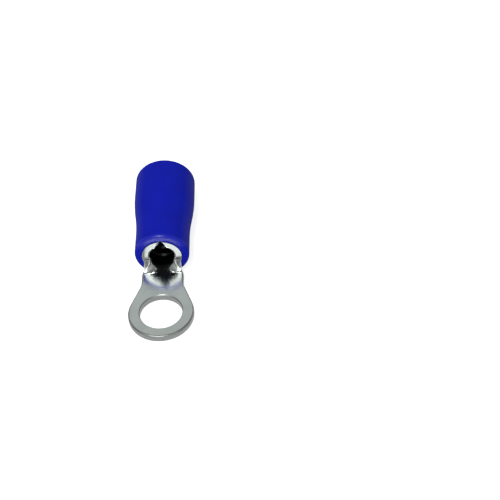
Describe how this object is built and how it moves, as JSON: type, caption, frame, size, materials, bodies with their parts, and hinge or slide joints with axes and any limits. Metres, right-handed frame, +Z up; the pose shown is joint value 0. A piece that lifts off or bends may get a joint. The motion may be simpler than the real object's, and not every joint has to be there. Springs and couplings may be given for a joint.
{
  "type": "ring terminal",
  "caption": "Insulated ring terminal: a flat ring for a stud on a tongue that rolls up into a crimp barrel, inside a flared plastic sleeve.",
  "frame": {"origin": "centre of the stud hole on the ring's underside", "axes": "+Z up through the stud hole, on the side the barrel rises to; the tongue and the barrel run along +Y; +X to the side"},
  "size_m": [0.0066, 0.0213, 0.0065],
  "materials": {
    "tinned_copper": "tin plated over copper, bright satin",
    "sleeve_pvc": "moulded, satin"
  },
  "bodies": {
    "root": {"terminal": "tinned_copper", "insulating_sleeve": "sleeve_pvc"}
  },
  "joints": []
}
